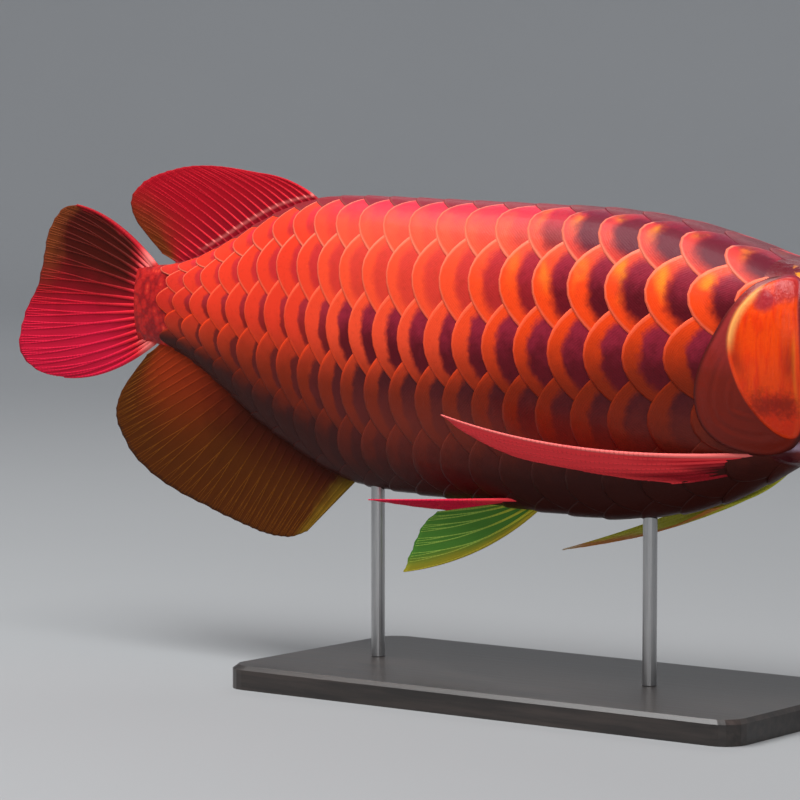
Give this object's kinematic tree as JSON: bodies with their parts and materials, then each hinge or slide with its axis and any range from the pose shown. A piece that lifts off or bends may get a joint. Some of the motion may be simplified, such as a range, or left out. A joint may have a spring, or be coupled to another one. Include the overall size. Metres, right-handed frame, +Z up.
{
  "type": "fish model",
  "caption": "Life-size still model of a red asian arowana swimming, with scaled flanks, spread fins and chin barbels, held on a plain display stand",
  "frame": {"origin": "Centre of the underside of the stand base", "axes": "+X towards the head, +Y towards the fish's left flank, +Z up"},
  "size_m": [0.6273, 0.14, 0.2624],
  "materials": {
    "skin": "wet scales, orange-red with purple cores",
    "jaw": "smooth wet skin, mauve red",
    "gill_plate": "smooth bony plate, bright orange",
    "eye": "clear domed eye",
    "fin": "thin rayed membrane, magenta red",
    "green_fin": "thin rayed membrane, yellow green",
    "stand_plate": "satin dark grey",
    "stand_rod": "satin"
  },
  "bodies": {
    "root": {"head": "skin", "lower_jaw": "jaw", "gill_cover_right": "gill_plate", "gill_cover_left": "gill_plate", "eye_right": "eye", "eye_left": "eye", "barbel_right": "jaw", "barbel_left": "jaw", "trunk_front": "skin", "trunk_mid": "skin", "trunk_rear": "skin", "tail_stalk": "skin", "dorsal_fin": "fin", "anal_fin": "fin", "caudal_fin": "fin", "pectoral_fin_right": "fin", "pectoral_fin_left": "green_fin", "pelvic_fin_right": "fin", "pelvic_fin_left": "green_fin", "stand_base": "stand_plate", "stand_rod_front": "stand_rod", "stand_rod_rear": "stand_rod"}
  },
  "joints": []
}
